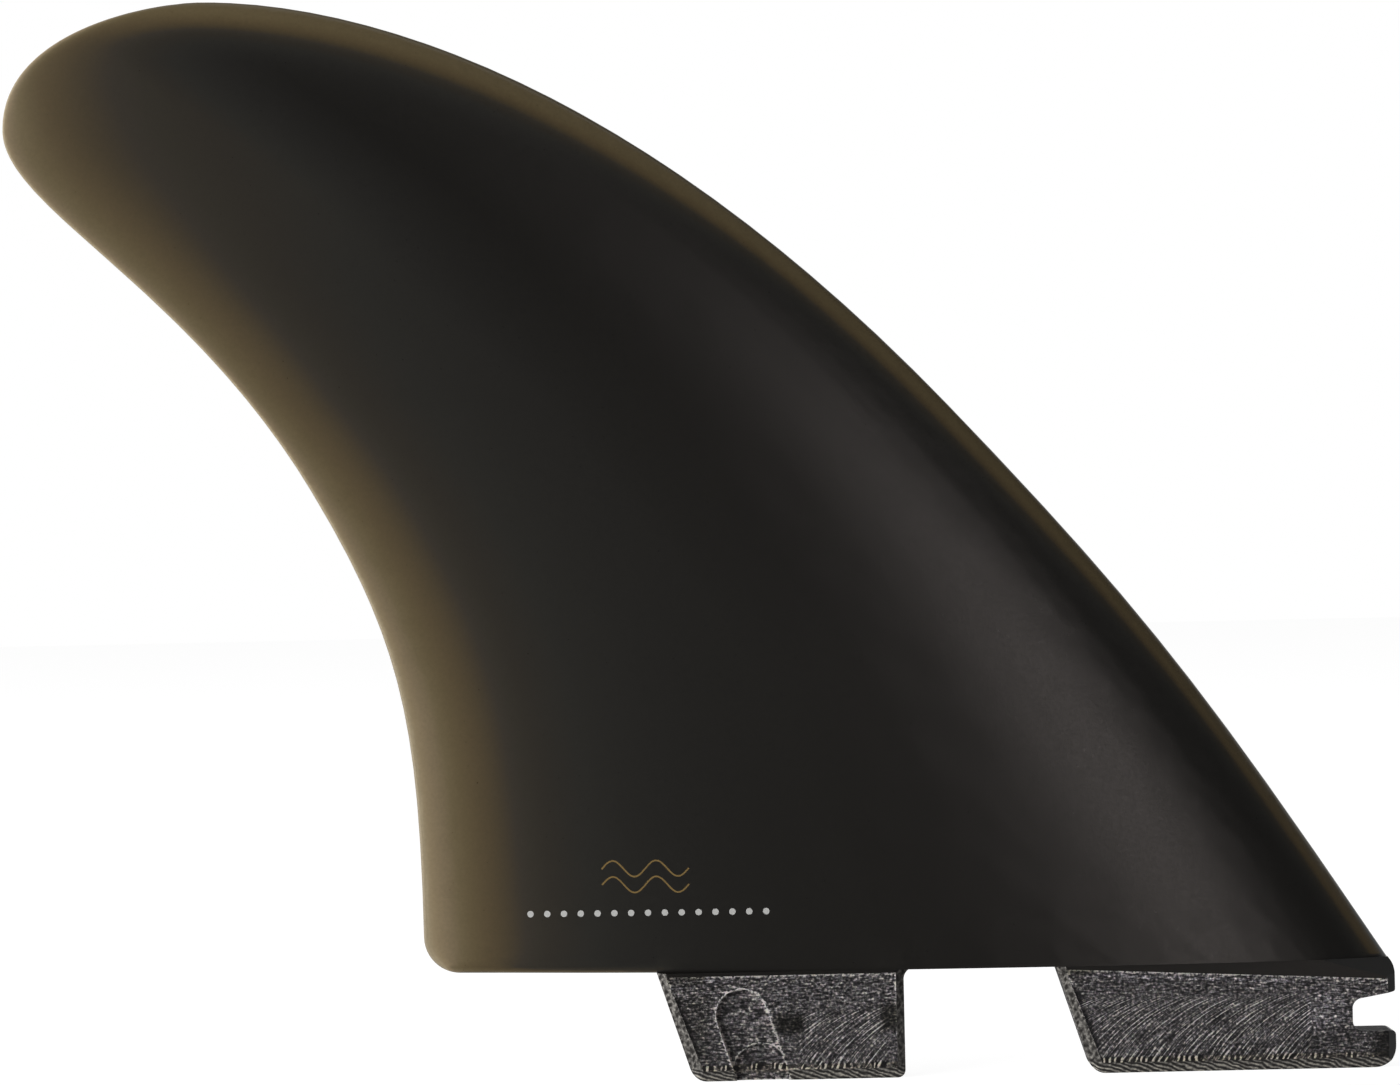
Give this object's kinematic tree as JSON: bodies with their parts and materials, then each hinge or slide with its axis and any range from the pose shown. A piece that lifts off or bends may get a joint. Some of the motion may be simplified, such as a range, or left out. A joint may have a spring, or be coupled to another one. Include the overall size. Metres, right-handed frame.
{
  "type": "surfboard fin",
  "caption": "Swept fin for a surfboard, flat inside and foiled outside, with milled base tabs and a hook notch.",
  "frame": {"origin": "on the board's surface, halfway along the two tabs and halfway through their thickness", "axes": "+X forward towards the leading edge, +Z out of the board along the blade, -Y the curved outer face, +Y the flat inner face"},
  "size_m": [0.1896, 0.0083, 0.1503],
  "materials": {
    "smoke_laminate": "satin sanded glass-fibre laminate, smoke tinted, brown and see-through where it is thin"
  },
  "bodies": {
    "root": {"fin": "smoke_laminate"}
  },
  "joints": []
}
